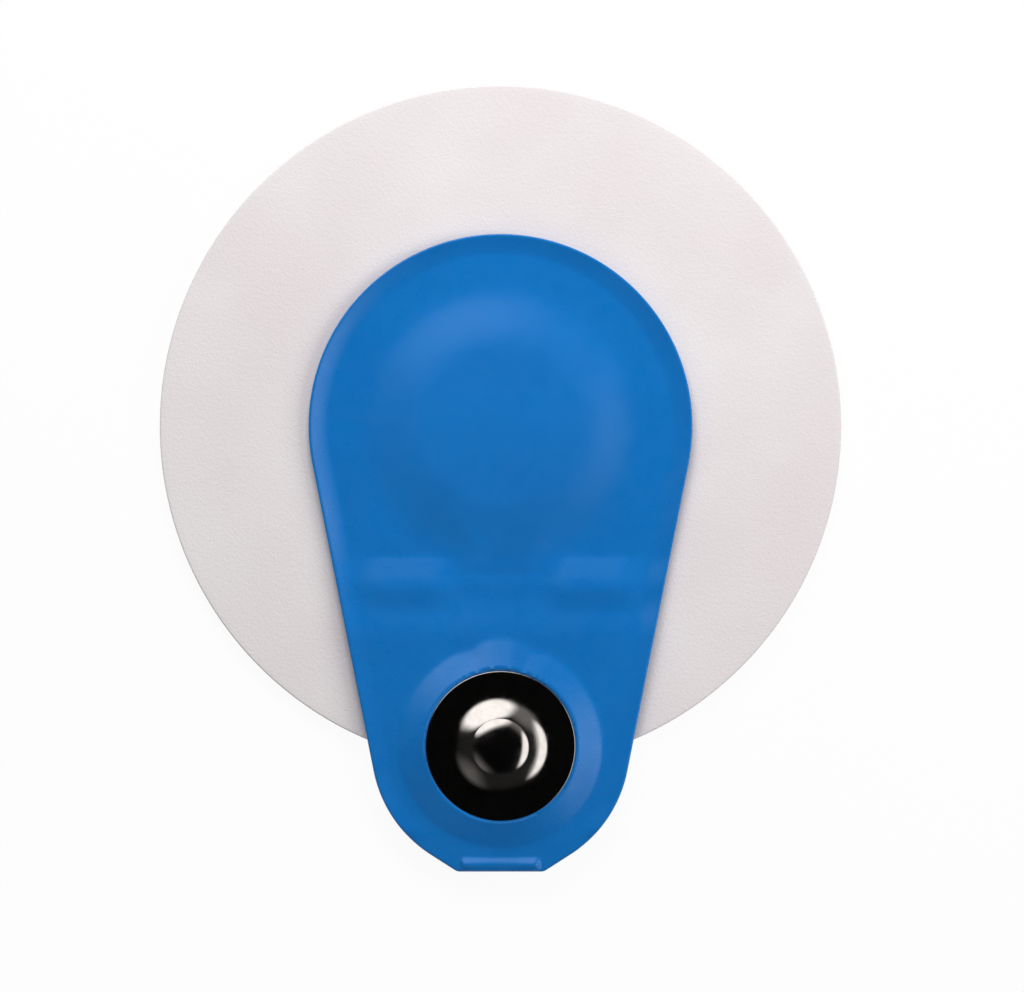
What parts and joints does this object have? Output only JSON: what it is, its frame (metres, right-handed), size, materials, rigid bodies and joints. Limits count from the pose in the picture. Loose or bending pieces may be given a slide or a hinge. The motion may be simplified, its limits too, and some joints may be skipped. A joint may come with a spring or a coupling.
{
  "type": "ecg electrode",
  "caption": "Round white foam pad with a gel sponge in its middle, under a blue embossed label whose free tab carries a metal snap for the lead wire beside the gel.",
  "frame": {"origin": "centre of the foam pad on the face that sticks to the skin", "axes": "+Z away from the skin, +Y from the snap to the pad's centre, +X to the right seen from above"},
  "size_m": [0.048, 0.0554, 0.0053],
  "materials": {
    "foam": "white closed-cell foam",
    "gel": "wet sponge",
    "conductor": "silver chloride coat on film",
    "label": "satin blue film",
    "stud": "polished plated brass",
    "eyelet": "plated brass",
    "patch": "white film"
  },
  "bodies": {
    "root": {"foam_disc": "foam", "gel_sponge": "gel", "sensor_strip": "conductor", "tab_label": "label", "snap_stud": "stud", "snap_eyelet": "eyelet", "backing_patch": "patch"}
  },
  "joints": []
}
